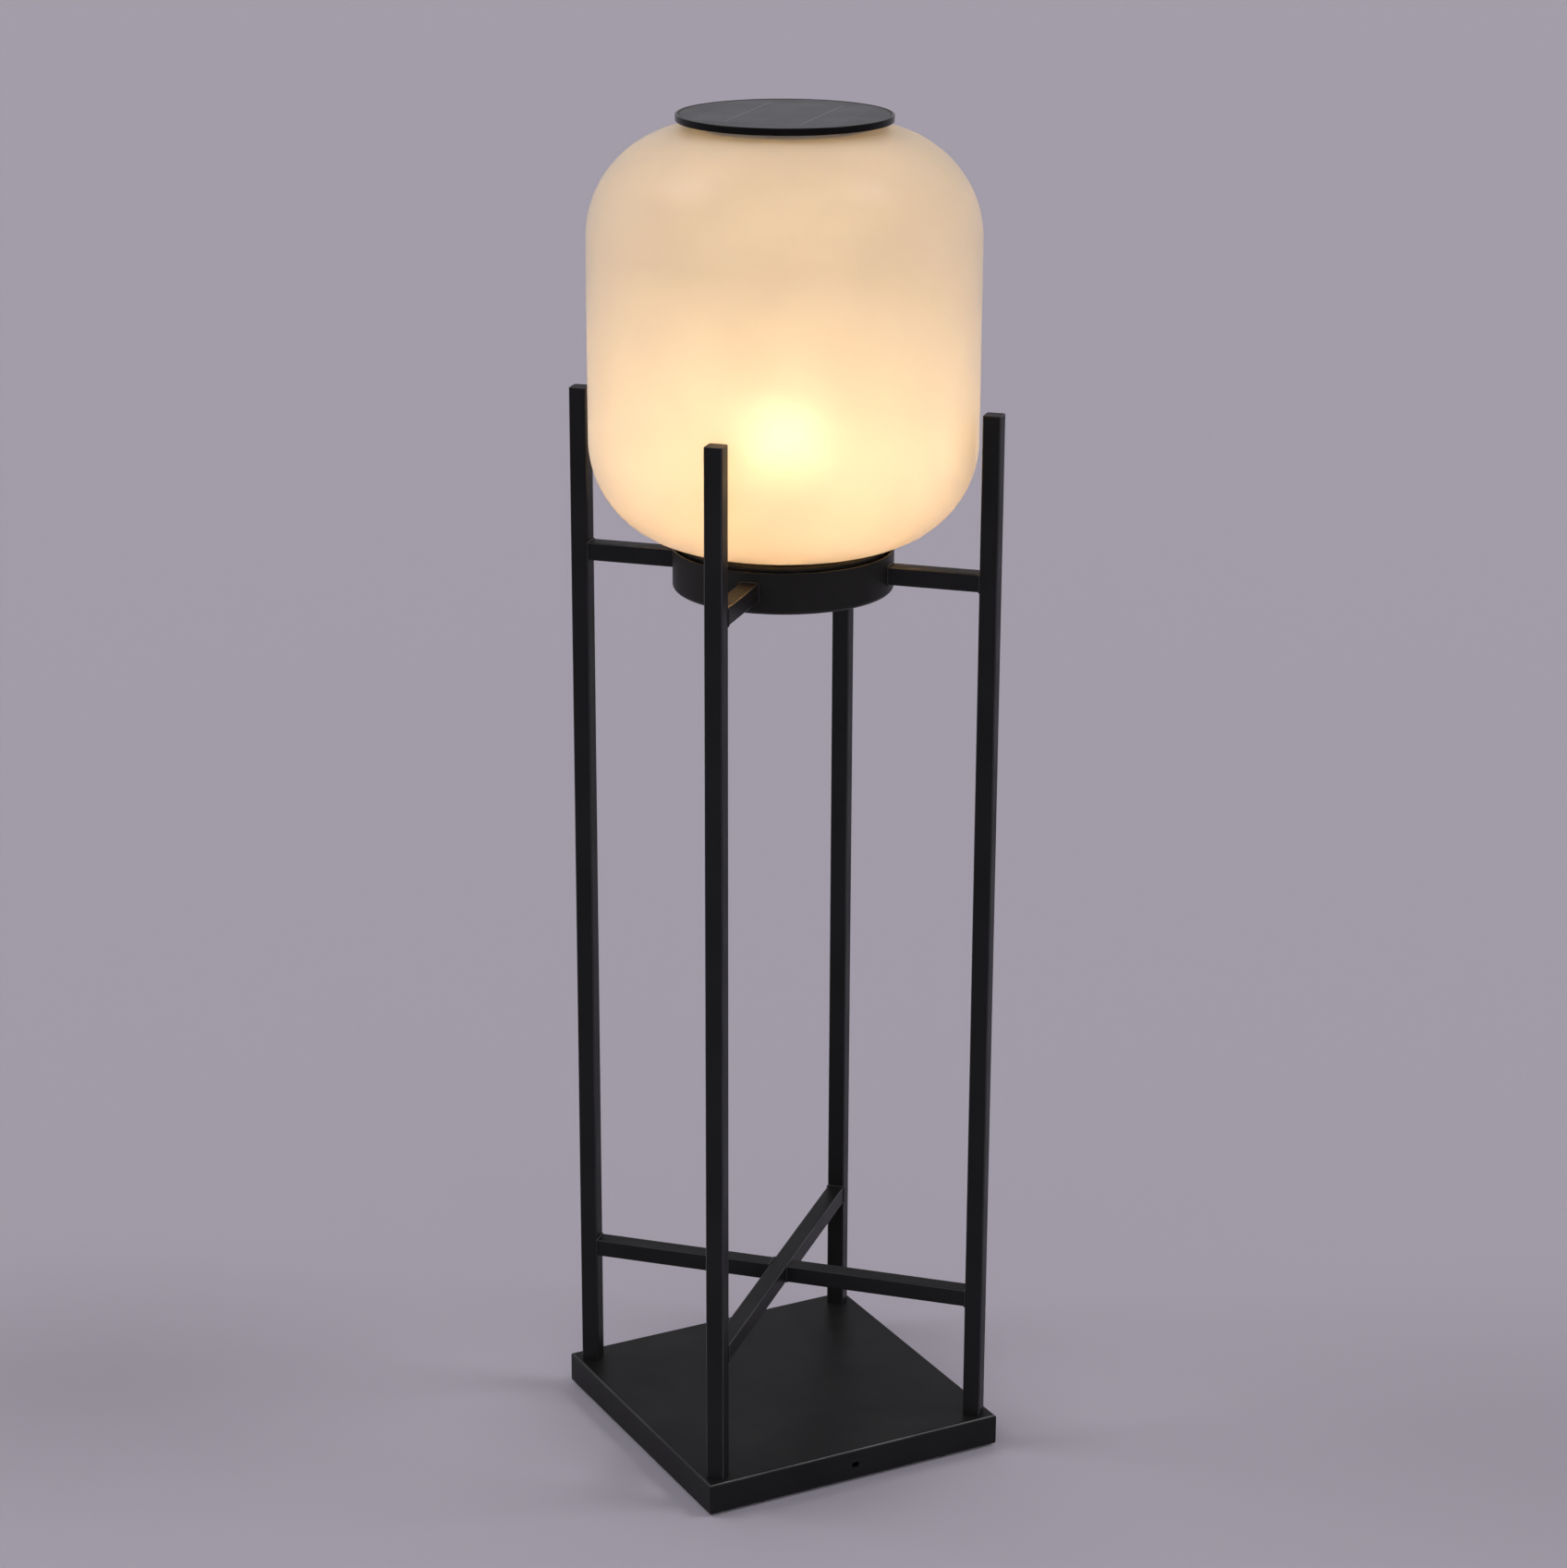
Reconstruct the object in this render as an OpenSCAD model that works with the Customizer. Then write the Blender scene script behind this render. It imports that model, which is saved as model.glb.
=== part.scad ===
// Solar lantern floor lamp: a jar-shaped frosted shade sits in a cup held between four square posts.
// Origin: the middle of the base, on the floor. +Z is up, the base's sides lie along X and Y,
// and the flange with the small slot faces -Y. Sizes are in millimetres.

/* [Base] */
// Side of the square base pan
base_side = 290; // [230:1:360]
// Height of the folded pan, from its lower edge to its top plate
pan_height = 29; // [22:0.5:40]
// Sheet thickness of the pan
pan_sheet = 1.5; // [1:0.1:2]
// Outer radius of the pan's folds
fold_radius = 2.5; // [2.2:0.1:4]
// Width of the return lips along the pan's lower edge
lip_width = 18; // [14:1:24]
// Length cut back from each end of a lip, which leaves the bolts open from below
lip_setback = 40; // [30:1:55]
// Width of the slot in the front flange
slot_width = 7; // [4:0.5:14]
// Height of the slot in the front flange
slot_height = 5; // [3:0.5:8]
// Diameter of the rubber pads
pad_diameter = 14; // [8:1:16]
// Height of the rubber pads
pad_height = 1.5; // [1:0.1:4]
// Side of the ballast plate
ballast_side = 214; // [160:1:218]
// Thickness of the ballast plate
ballast_thickness = 8; // [4:0.5:11]
// Size of the thread of the studs that hold the ballast
stud_size = 5; // [4:1:6]

/* [Posts and bars] */
// Outer width of the square tube
tube = 16; // [13:0.5:22]
// Wall of the square tube
tube_wall = 1.2; // [1:0.1:1.6]
// Outer corner radius of the square tube
tube_radius = 1.6; // [1.3:0.1:2.4]
// Distance from a post's outermost edge to the base's side
post_margin = 4.1; // [2:0.1:20]
// Height of the posts' tops above the floor
post_top = 952; // [780:1:1150]
// Thickness of the caps on the posts
cap_thickness = 1.5; // [1:0.1:3]
// Height of the cross brace's middle above the base's top plate
brace_height = 115; // [60:1:300]
// Size of the bolts that hold the pan to the posts
bolt_size = 5; // [4:1:6]
// Length of the threaded plugs in the posts' lower ends
plug_length = 18; // [12:1:30]

/* [Cup] */
// Distance from the posts' tops down to the cup's rim
cup_drop = 127; // [90:1:200]
// Outer height of the cup
cup_height = 36; // [34:0.5:50]
// Wall of the cup
cup_wall = 1.5; // [1.2:0.1:2.5]
// Outer radius where the cup's wall meets its floor
cup_edge = 4; // [3:0.5:8]
// Distance from the shade's foot radius out to the cup's outside
cup_margin = 18; // [14:0.5:24]
// Distance from the cup's rim down to the tops of the arms
arm_drop = 9; // [4:0.5:14]

/* [Shade] */
// Height of the shade from its foot to its shoulder
shade_height = 351; // [290:1:430]
// Wall of the shade
shade_wall = 3; // [2:0.1:5]
// Gap between the shade's widest part and the posts
post_gap = 9.3; // [4:0.1:20]
// Radius where the lower shoulder ends in the flat foot
foot_radius = 77; // [72:0.5:95]
// Width of the foot's flat flange, inwards from the foot radius
foot_flange = 11; // [9:0.5:12]
// Outer radius of the neck
neck_radius = 74; // [68:0.5:95]
// Height of the neck above the shoulder
neck_height = 5; // [3:0.5:8]
// Height of the shade's foot above the cup's rim
seat_rise = 6; // [4:0.5:12]
// Thickness of the gasket under the foot
gasket_thickness = 3; // [2:0.5:4]

/* [Lid] */
// Overhang of the lid beyond the neck
lid_overhang = 17; // [10:0.5:25]
// Thickness of the lid at its rim
lid_thickness = 6; // [5:0.5:10]
// Width of the lid's raised rim
lid_rim = 2.5; // [1.5:0.1:5]
// Depth of the recess that holds the panel
panel_recess = 2.2; // [1.5:0.1:3]
// Thickness of the solar panel
panel_thickness = 2; // [1.2:0.1:2.6]
// Side of the square solar cell, whose corners are cut by the panel's edge margin
cell_side = 125; // [100:1:125]
// Distance between the two bus lines on the panel
bus_spacing = 64; // [40:1:80]
// Depth of the spigot that enters the neck
spigot_depth = 15; // [12:0.5:20]
// Thickness of the seal ring's cord
seal_section = 3; // [2:0.1:3.5]

/* [Lamp] */
// Height of the lampholder
holder_height = 40; // [38:1:50]
// Outer radius of the lampholder
holder_radius = 20; // [18.5:0.5:24]
// Radius of the bulb's screw cap over its threads
cap_radius = 13.1; // [12.8:0.1:13.2]
// Radius of the bulb's dome
bulb_radius = 30; // [25:0.5:38]
// Height of the bulb above the lampholder's rim
bulb_height = 78; // [72:1:95]
// Wall of the bulb's dome
dome_wall = 1.2; // [0.8:0.1:2]

/* [Power] */
// Diameter of a battery cell
cell_diameter = 18.4; // [14:0.1:18.4]
// Length of a battery cell
cell_length = 65; // [50:1:65]
// Wall of the gear case
case_wall = 2.5; // [2:0.1:3]
// Travel of the push button
button_travel = 1.5; // [1:0.1:2.5]
// Radius of the panel lead
lead_radius = 1.5; // [1:0.1:1.8]

/* [Clearances] */
// Gap all round between pieces that move past each other
slip = 0.3; // [0.2:0.05:0.5]
// Gap all round between a screw or stud and its hole
thread_gap = 0.1; // [0.05:0.05:0.15]
// Gap between the cup's wall and the gear case, for drainage
gutter = 6.5; // [3:0.5:10]
// Gap between the ballast plate and the washers of the post bolts, where the plate reaches them
ballast_gap = 3; // [2:0.5:6]

/* [Hidden] */
$fn = 96;
EPS = 0.01;

// Heights above the floor, from the bottom up
pan_z = pad_height;
pan_top = pan_z + pan_height;
plate_under = pan_top - pan_sheet;
brace_z = pan_top + brace_height;
cup_rim = post_top - cup_drop;
cup_bottom = cup_rim - cup_height;
cup_floor = cup_bottom + cup_wall;
arm_z = cup_rim - arm_drop - tube / 2;
foot_z = cup_rim + seat_rise;
case_top = foot_z - gasket_thickness;
holder_rim = case_top + holder_height;
shoulder_z = foot_z + shade_height;
lid_z = shoulder_z + neck_height;
lid_top = lid_z + lid_thickness;

// Places of the posts
post_xy = base_side / 2 - post_margin - tube / sqrt(2);
post_reach = post_xy * sqrt(2);
post_face = post_reach - tube / 2;
POST_ANGLES = [225, 315, 45, 135];

// Radii of the shade and of what it carries and sits on
shade_radius = post_face - post_gap;
foot_arc = shade_radius - foot_radius;
neck_arc = shade_radius - neck_radius;
foot_opening = foot_radius - foot_flange;
neck_bore = neck_radius - shade_wall;
lid_radius = neck_radius + lid_overhang;
panel_radius = lid_radius - lid_rim - slip;
spigot_radius = neck_bore - slip;
cup_radius = foot_radius + cup_margin;
case_radius = cup_radius - cup_wall - gutter;
case_inner = case_radius - case_wall;
case_deck = case_top - case_wall;

// Standard sizes of threaded parts, as shares of the thread's size
NUT_FLATS = 1.6;
NUT_HEIGHT = 0.8;
HEAD_RADIUS = 0.87;
HEAD_HEIGHT = 0.55;
WASHER_RADIUS = 1.0;
washer_thickness = 1.2;
socket_flats = 4;
plug_width = tube - 2 * tube_wall - 2 * thread_gap;
bolt_length = 16;

// Ballast, its studs and the pads
stud_xy = ballast_side / 2 - 18;
ballast_corner = 8;
stud_length = ballast_thickness + 7;
pad_reach = base_side / 2 - pan_sheet - lip_width / 2;
pad_side = base_side / 2 - lip_setback - pad_diameter;

// Screws between the cup and the gear case
SCREW_ANGLES = [90, 210, 330];
case_screw = 4;
boss_radius = 4.5;
boss_reach = case_inner - boss_radius - 4;
boss_height = 20;
case_round = 3;

// Centring ring of the gear case, inside the shade's foot opening
ring_radius = foot_opening - slip;
ring_width = 3;
ring_height = gasket_thickness + shade_wall + 2;

// Drain holes in the cup's gutter
drain_radius = 2.2;
DRAIN_COUNT = 6;

// Lampholder and its nipple
nipple_radius = 5;
nipple_bore = 3.6;
nipple_nut = 14;
nipple_nut_height = 3.5;
nipple_below = 7;
nipple_above = 9;
shell_wall = 0.6;
shell_radius = cap_radius + slip + shell_wall;
shell_depth = 24;

// Bulb: cap, body and dome
thread_pitch = 3.6;
THREAD_RINGS = 5;
thread_depth = 0.8;
thread_round = 1.1;
cap_length = 22;
collar_height = bulb_height - 40;
dome_centre = holder_rim + bulb_height - bulb_radius;
collar_top = holder_rim + collar_height;
dome_mouth = sqrt(pow(bulb_radius, 2) - pow(dome_centre - collar_top, 2));
board_depth = 3;
led_board_radius = dome_mouth - dome_wall - 2;
led_count = 10;
led_size = 2.8;
led_reach = led_board_radius - 6;

// Battery holder, board and switch, all inside the gear case
tray_wall = 1.5;
tray_floor = 2;
tray_length = cell_length + 9;
tray_width = 2 * cell_diameter + 3 * tray_wall;
tray_y = 14 + tray_width / 2;
board_length = 74;
board_width = 34;
board_thickness = 1.6;
board_y = -38;
board_z = cup_floor + 12;
standoff_radius = 2.6;
switch_x = 0;
switch_y = -66;
switch_radius = 6;
switch_height = 10;
bezel_radius = 8;
bezel_height = 1.5;
button_radius = 4.2;
button_proud = 2.6;
switch_nut = 15;

// Lead from the panel down the rear of the shade to the gear case
plug_reach = 50;
plug_length_y = 12;
plug_width_x = 10;
plug_height = 9;
plug_gap = 0.3;
socket_low = case_top + 9;
lead_low = socket_low + plug_gap + plug_height / 2;
socket_high = lid_z - 19;
lead_high = socket_high - plug_gap - plug_height / 2;
lead_inset = shade_wall + lead_radius + 0.6;
lead_foot_arc = foot_arc - lead_inset;
lead_neck_arc = neck_arc - lead_inset;
CLIP_COUNT = 3;
clip_width = 8;
clip_height = 6;
clip_depth = 2 * lead_radius + 1.6;

// ---------------------------------------------------------------- shared shapes

// Rectangle with rounded corners, centred
module rounded_rectangle(width, height, radius) {
  square([width - 2 * radius, height], center = true);
  square([width, height - 2 * radius], center = true);
  for (x = [-1, 1], y = [-1, 1])
    translate([x * (width / 2 - radius), y * (height / 2 - radius)]) circle(radius);
}

// Square tube of the stand, standing on z = 0
module square_tube(length) {
  linear_extrude(length)
    difference() {
      rounded_rectangle(tube, tube, tube_radius);
      rounded_rectangle(tube - 2 * tube_wall, tube - 2 * tube_wall, tube_radius - tube_wall + 0.4);
    }
}

// Square tube lying along +X, from x = 0, with its middle on the axis
module lying_tube(length) {
  rotate([90, 0, 90]) square_tube(length);
}

// Ring between two radii
module ring(outer, inner, height) {
  difference() {
    cylinder(r = outer, h = height);
    translate([0, 0, -1]) cylinder(r = inner, h = height + 2);
  }
}

// Hexagon prism by its width across flats
module hexagon(flats, height) {
  cylinder(r = flats / sqrt(3), h = height, $fn = 6);
}

// Nut with its bore
module nut(size, flats, height) {
  difference() {
    hexagon(flats, height);
    translate([0, 0, -1]) cylinder(r = size / 2 + thread_gap, h = height + 2);
  }
}

// Button-head screw pointing up, its head's top at z = 0
module button_screw(size, length) {
  head = HEAD_HEIGHT * size;
  radius = HEAD_RADIUS * size;
  difference() {
    union() {
      cylinder(r = size / 2, h = length);
      translate([0, 0, -head])
        rotate_extrude()
          intersection() {
            square([radius, head]);
            translate([0, radius]) circle(radius * 1.02);
          }
    }
    translate([0, 0, -head - EPS]) hexagon(socket_flats * size / 6, head * 0.6);
  }
}

// One copy at each of the four posts
module at_posts() {
  for (angle = POST_ANGLES)
    rotate([0, 0, angle]) translate([post_reach, 0, 0]) children();
}

// ---------------------------------------------------------------- base

// Block with its long edges rounded along both X and Y, standing on z = 0
module folded_block(width, height, radius) {
  intersection() {
    for_direction(width, height, radius, 0);
    for_direction(width, height, radius, 90);
  }
}

module for_direction(width, height, radius, angle) {
  rotate([90, 0, angle])
    linear_extrude(width, center = true)
      translate([0, height / 2]) rounded_rectangle(width, height, radius);
}

module base_pan() {
  inner_side = base_side - 2 * pan_sheet;
  lip_length = base_side - 2 * lip_setback;
  color("#1b1b1c") translate([0, 0, pan_z]) {
    difference() {
      folded_block(base_side, pan_height, fold_radius);
      translate([0, 0, pan_sheet])
        folded_block(inner_side, pan_height - 2 * pan_sheet, fold_radius - pan_sheet + 0.2);
      translate([0, 0, -1]) linear_extrude(pan_sheet + 2 + fold_radius)
        difference() {
          square(inner_side, center = true);
          for (angle = [0:90:270])
            rotate(angle) translate([inner_side / 2 - lip_width / 2, 0])
              square([lip_width, lip_length], center = true);
        }
      at_posts() translate([0, 0, pan_height - pan_sheet - 1])
        cylinder(r = bolt_size / 2 + slip, h = pan_sheet + 2);
      translate([0, -base_side / 2, pan_height / 2]) rotate([90, 0, 0])
        linear_extrude(4 * pan_sheet, center = true) rounded_rectangle(slot_width, slot_height, 1);
    }
    for (x = [-1, 1], y = [-1, 1])
      translate([x * stud_xy, y * stud_xy, pan_height - pan_sheet - stud_length])
        cylinder(r = stud_size / 2, h = stud_length + EPS);
  }
}

module rubber_pads() {
  color("#141414")
    for (x = [-1, 1], y = [-1, 1])
      translate([x * pad_side, y * pad_reach, 0]) cylinder(r = pad_diameter / 2, h = pad_height);
}

module ballast_plate() {
  color("#5b5d60") translate([0, 0, plate_under - ballast_thickness])
    difference() {
      linear_extrude(ballast_thickness) rounded_rectangle(ballast_side, ballast_side, ballast_corner);
      for (x = [-1, 1], y = [-1, 1])
        translate([x * stud_xy, y * stud_xy, -1])
          cylinder(r = stud_size / 2 + slip, h = ballast_thickness + 2);
      at_posts() translate([0, 0, -1])
        cylinder(r = WASHER_RADIUS * bolt_size + ballast_gap, h = ballast_thickness + 2);
    }
}

module ballast_nuts() {
  height = NUT_HEIGHT * stud_size;
  color("#a7a9ab")
    for (x = [-1, 1], y = [-1, 1])
      translate([x * stud_xy, y * stud_xy, plate_under - ballast_thickness - height])
        nut(stud_size, NUT_FLATS * stud_size, height);
}

module base_washers() {
  color("#b0b2b4") at_posts() translate([0, 0, plate_under - washer_thickness])
    ring(WASHER_RADIUS * bolt_size, bolt_size / 2 + slip, washer_thickness);
}

module base_bolts() {
  color("#a7a9ab") at_posts() translate([0, 0, plate_under - washer_thickness])
    button_screw(bolt_size, bolt_length);
}

// ---------------------------------------------------------------- posts, brace and arms

module post(angle) {
  color("#1b1b1c") rotate([0, 0, angle]) translate([post_reach, 0, pan_top])
    square_tube(post_top - cap_thickness - pan_top);
}

module post_front() { post(225); }
module post_right() { post(315); }
module post_back() { post(45); }
module post_left() { post(135); }

module post_plugs() {
  color("#8d8f92") at_posts() translate([0, 0, pan_top])
    difference() {
      linear_extrude(plug_length) rounded_rectangle(plug_width, plug_width, 1);
      translate([0, 0, -1]) cylinder(r = bolt_size / 2 + thread_gap, h = plug_length + 2);
    }
}

module post_caps() {
  chamfer = 0.5;
  color("#1b1b1c") at_posts() translate([0, 0, post_top - cap_thickness]) {
    linear_extrude(cap_thickness - chamfer) rounded_rectangle(tube, tube, tube_radius);
    translate([0, 0, cap_thickness - chamfer])
      linear_extrude(chamfer, scale = 1 - 2 * chamfer / tube)
        rounded_rectangle(tube, tube, tube_radius, $fn = 24);
  }
}

module brace_through() {
  color("#1b1b1c") rotate([0, 0, 45]) translate([-post_face, 0, brace_z]) lying_tube(2 * post_face);
}

// Half bar from the through bar's side to a post
module brace_half(angle) {
  color("#1b1b1c") rotate([0, 0, angle]) translate([tube / 2, 0, brace_z])
    lying_tube(post_face - tube / 2);
}

module brace_left() { brace_half(135); }
module brace_right() { brace_half(315); }

// Arm from the cup's wall to a post, coped to the cup's curve
module arm(angle) {
  start = sqrt(pow(cup_radius, 2) - pow(tube / 2, 2)) - 1;
  color("#1b1b1c") rotate([0, 0, angle])
    difference() {
      translate([start, 0, arm_z]) lying_tube(post_face - start);
      translate([0, 0, arm_z - tube]) cylinder(r = cup_radius + thread_gap / 2, h = 2 * tube);
    }
}

module arm_front() { arm(225); }
module arm_right() { arm(315); }
module arm_back() { arm(45); }
module arm_left() { arm(135); }

// ---------------------------------------------------------------- cup and gear case

// Half section of a round dish with a rounded lower edge, filled
module dish_section(radius, height, edge) {
  square([radius - edge, height]);
  translate([0, edge]) square([radius, height - edge]);
  intersection() {
    translate([radius - edge, edge]) circle(edge);
    square([radius, edge]);
  }
}

module cup() {
  color("#1b1b1c") translate([0, 0, cup_bottom])
    difference() {
      rotate_extrude()
        difference() {
          dish_section(cup_radius, cup_height, cup_edge);
          translate([0, cup_wall])
            dish_section(cup_radius - cup_wall, cup_height, cup_edge - cup_wall + 0.2);
        }
      for (angle = SCREW_ANGLES)
        rotate([0, 0, angle]) translate([boss_reach, 0, -1])
          cylinder(r = case_screw / 2 + slip, h = cup_wall + 2);
      for (index = [0 : DRAIN_COUNT - 1])
        rotate([0, 0, index * 360 / DRAIN_COUNT])
          translate([case_radius + gutter / 2 - 0.6, 0, -1]) cylinder(r = drain_radius, h = cup_wall + 2);
      translate([switch_x, switch_y, -1]) cylinder(r = switch_radius + thread_gap, h = cup_wall + 2);
    }
}

module case_section() {
  difference() {
    union() {
      square([case_radius, case_top - cup_floor - case_round]);
      square([case_radius - case_round, case_top - cup_floor]);
      translate([case_radius - case_round, case_top - cup_floor - case_round]) circle(case_round);
    }
    translate([-1, -1]) square([case_inner + 1, case_deck - cup_floor + 1]);
  }
}

module gear_case() {
  color("#222223") {
    difference() {
      union() {
        translate([0, 0, cup_floor]) rotate_extrude() case_section();
        translate([0, 0, case_top - EPS]) ring(ring_radius, ring_radius - ring_width, ring_height + EPS);
        for (angle = SCREW_ANGLES)
          rotate([0, 0, angle]) translate([boss_reach, 0, cup_floor])
            cylinder(r = boss_radius, h = case_deck - cup_floor + EPS);
        translate([-plug_width_x / 2, plug_reach - plug_length_y / 2, case_top - EPS])
          cube([plug_width_x, plug_length_y, socket_low - case_top + EPS]);
      }
      for (angle = SCREW_ANGLES)
        rotate([0, 0, angle]) translate([boss_reach, 0, cup_floor - 1])
          cylinder(r = case_screw / 2 + thread_gap, h = boss_height + 1);
      translate([0, 0, case_deck - 1]) cylinder(r = nipple_radius + slip, h = case_wall + 2);
      translate([-plug_width_x / 2 - slip, ring_radius - ring_width - 1, socket_low])
        cube([plug_width_x + 2 * slip, ring_width + 2, plug_height]);
    }
  }
}

module case_screws() {
  color("#a7a9ab")
    for (angle = SCREW_ANGLES)
      rotate([0, 0, angle]) translate([boss_reach, 0, cup_bottom]) button_screw(case_screw, boss_height - 4);
}

module seat_gasket() {
  color("#2a2a2a") translate([0, 0, case_top])
    ring(foot_radius + 3, ring_radius + slip, gasket_thickness);
}

// ---------------------------------------------------------------- battery, board and switch

module battery_tray() {
  rib = 3;
  color("#2f2f30") translate([0, tray_y, cup_floor])
    difference() {
      translate([-tray_length / 2, -tray_width / 2, 0])
        cube([tray_length, tray_width, tray_floor + cell_diameter * 0.6]);
      for (side = [-1, 1])
        translate([-(cell_length / 2 + rib / 2), side * (cell_diameter + tray_wall) / 2,
                   tray_floor + cell_diameter / 2])
          rotate([0, 90, 0]) cylinder(r = cell_diameter / 2 + thread_gap, h = cell_length + rib);
    }
}

// Cell with its small positive button
module battery_cell() {
  button = 1.5;
  rotate([0, 90, 0]) {
    cylinder(r = cell_diameter / 2, h = cell_length - button);
    translate([0, 0, cell_length - button - EPS]) cylinder(r = cell_diameter / 6, h = button + EPS);
  }
}

module battery_cells() {
  color("#3f6fa5") translate([0, tray_y, cup_floor + tray_floor + cell_diameter / 2]) {
    translate([-cell_length / 2, (cell_diameter + tray_wall) / 2, 0]) battery_cell();
    translate([cell_length / 2, -(cell_diameter + tray_wall) / 2, 0]) rotate([0, 0, 180]) battery_cell();
  }
}

module controller_board() {
  hole_x = board_length / 2 - 5;
  color("#1f5b3a") translate([0, board_y, 0]) {
    difference() {
      translate([-board_length / 2, -board_width / 2, board_z])
        cube([board_length, board_width, board_thickness]);
      for (x = [-1, 1])
        translate([x * hole_x, 0, board_z - 1]) cylinder(r = 1.6, h = board_thickness + 2);
    }
    for (x = [-1, 1])
      translate([x * hole_x, 0, cup_floor]) ring(standoff_radius, 1.6, board_z - cup_floor);
    translate([-16, -8, board_z + board_thickness]) cylinder(r = 5, h = 7);
    translate([-2, -7, board_z + board_thickness]) cube([8, 12, 1.6]);
    translate([14, -6, board_z + board_thickness]) cylinder(r = 3.2, h = 9);
    translate([-8, 8, board_z + board_thickness]) cube([16, 6, 6]);
  }
}

module switch_body() {
  color("#232324") translate([switch_x, switch_y, 0])
    difference() {
      union() {
        translate([0, 0, cup_bottom - bezel_height]) cylinder(r = bezel_radius, h = bezel_height);
        translate([0, 0, cup_bottom - EPS]) cylinder(r = switch_radius, h = switch_height + EPS);
      }
      translate([0, 0, cup_bottom - bezel_height - 1])
        cylinder(r = button_radius + slip, h = bezel_height + 1 + switch_height - 2);
    }
}

module switch_nut() {
  color("#a7a9ab") translate([switch_x, switch_y, cup_floor])
    nut(2 * switch_radius, switch_nut, 2.5);
}

module button() {
  stem = switch_height - 2 - button_travel - slip;
  low = cup_bottom - bezel_height - button_proud;
  round = 1;
  color("#8e1f1c") translate([switch_x, switch_y, low])
    rotate_extrude() {
      translate([0, round]) square([button_radius, stem + button_proud + bezel_height - round]);
      square([button_radius - round, round + EPS]);
      intersection() {
        translate([button_radius - round, round]) circle(round);
        square([button_radius, round]);
      }
    }
}

// ---------------------------------------------------------------- lampholder

module lampholder() {
  skirt = 15;
  shoulder = 12;
  inner = shell_radius + thread_gap;
  color("#1d1d1e") translate([0, 0, case_top])
    difference() {
      rotate_extrude()
        polygon([[0, 0], [skirt, 0], [skirt, shoulder - 4], [holder_radius - 2, shoulder],
                 [holder_radius - 2, holder_height - 12], [holder_radius, holder_height - 10],
                 [holder_radius, holder_height - 1], [holder_radius - 1, holder_height],
                 [0, holder_height]]);
      translate([0, 0, holder_height - shell_depth - 4]) cylinder(r = inner, h = shell_depth + 5);
      translate([0, 0, -1]) cylinder(r = nipple_radius + thread_gap, h = nipple_above + 1.5);
      translate([0, 0, nipple_above]) cylinder(r = nipple_bore, h = holder_height);
    }
}

module holder_contacts() {
  seat = holder_rim - shell_depth - 4;
  color("#c8a04a") {
    translate([0, 0, holder_rim - shell_depth])
      ring(shell_radius, shell_radius - shell_wall, shell_depth - 2);
    translate([0, 0, seat]) ring(9, nipple_bore + 1, 0.8);
    translate([-7, -2.5, seat + 0.8 - EPS]) cube([2.4, 5, 1.6]);
  }
}

module holder_nipple() {
  color("#b7b9bb") translate([0, 0, case_deck - nipple_below])
    ring(nipple_radius, nipple_bore, nipple_below + case_wall + nipple_above);
}

module nipple_nut() {
  color("#a7a9ab") translate([0, 0, case_deck - nipple_nut_height])
    nut(2 * nipple_radius, nipple_nut, nipple_nut_height);
}

// ---------------------------------------------------------------- wires

// Points of an arc in a vertical plane, as [distance from the axis, height]
function arc_points(centre, radius, from, to, count) =
  [for (i = [0 : count]) let (a = from + (to - from) * i / count)
    centre + radius * [cos(a), sin(a)]];

// Points of a cubic Bezier curve, without its first point
function bezier_points(a, b, c, d, count) =
  [for (i = [1 : count]) let (t = i / count, s = 1 - t)
    s * s * s * a + 3 * s * s * t * b + 3 * s * t * t * c + t * t * t * d];

function unit(v) = v / norm(v);

// Direction of a route at one of its points
function heading(route, i) =
  unit(route[min(i + 1, len(route) - 1)] - route[max(i - 1, 0)]);

// Round wire along a route in the plane of Y and Z
module wire(route, radius, sides = 8) {
  last = len(route) - 1;
  points = [
    for (i = [0 : last]) let (h = heading(route, i))
      for (k = [0 : sides - 1]) let (a = 360 * k / sides)
        [radius * cos(a), route[i][0] - radius * sin(a) * h[1], route[i][1] + radius * sin(a) * h[0]]
  ];
  walls = [
    for (i = [0 : last - 1], k = [0 : sides - 1])
      let (a = i * sides + k, b = i * sides + (k + 1) % sides, c = a + sides, d = b + sides)
        each [[a, b, c], [b, d, c]]
  ];
  ends = [
    for (k = [1 : sides - 2])
      each [[0, k + 1, k], [last * sides, last * sides + k, last * sides + k + 1]]
  ];
  polyhedron(points = points, faces = concat(walls, ends), convexity = 6);
}

// Two short leads from the board's terminals up through the nipple
module lamp_leads() {
  terminal_y = board_y + 11;
  start_z = board_z + board_thickness + 6;
  level = start_z + 4.5;
  radius = 0.8;
  stub = 2 * radius;
  bend = 2.5;
  color("#b9b9b9") for (side = [-1, 1])
    translate([side * 1.6, 0, 0])
      wire(concat(
        [[terminal_y, start_z], [terminal_y, start_z + stub]],
        bezier_points([terminal_y, start_z + stub], [terminal_y, level], [terminal_y + bend, level],
                      [terminal_y + 2 * bend, level], 6),
        bezier_points([terminal_y + 2 * bend, level], [-bend, level], [0, level], [0, level + 2 * bend], 12),
        [[0, case_top + nipple_above]]
      ), radius, 8);
}

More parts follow.
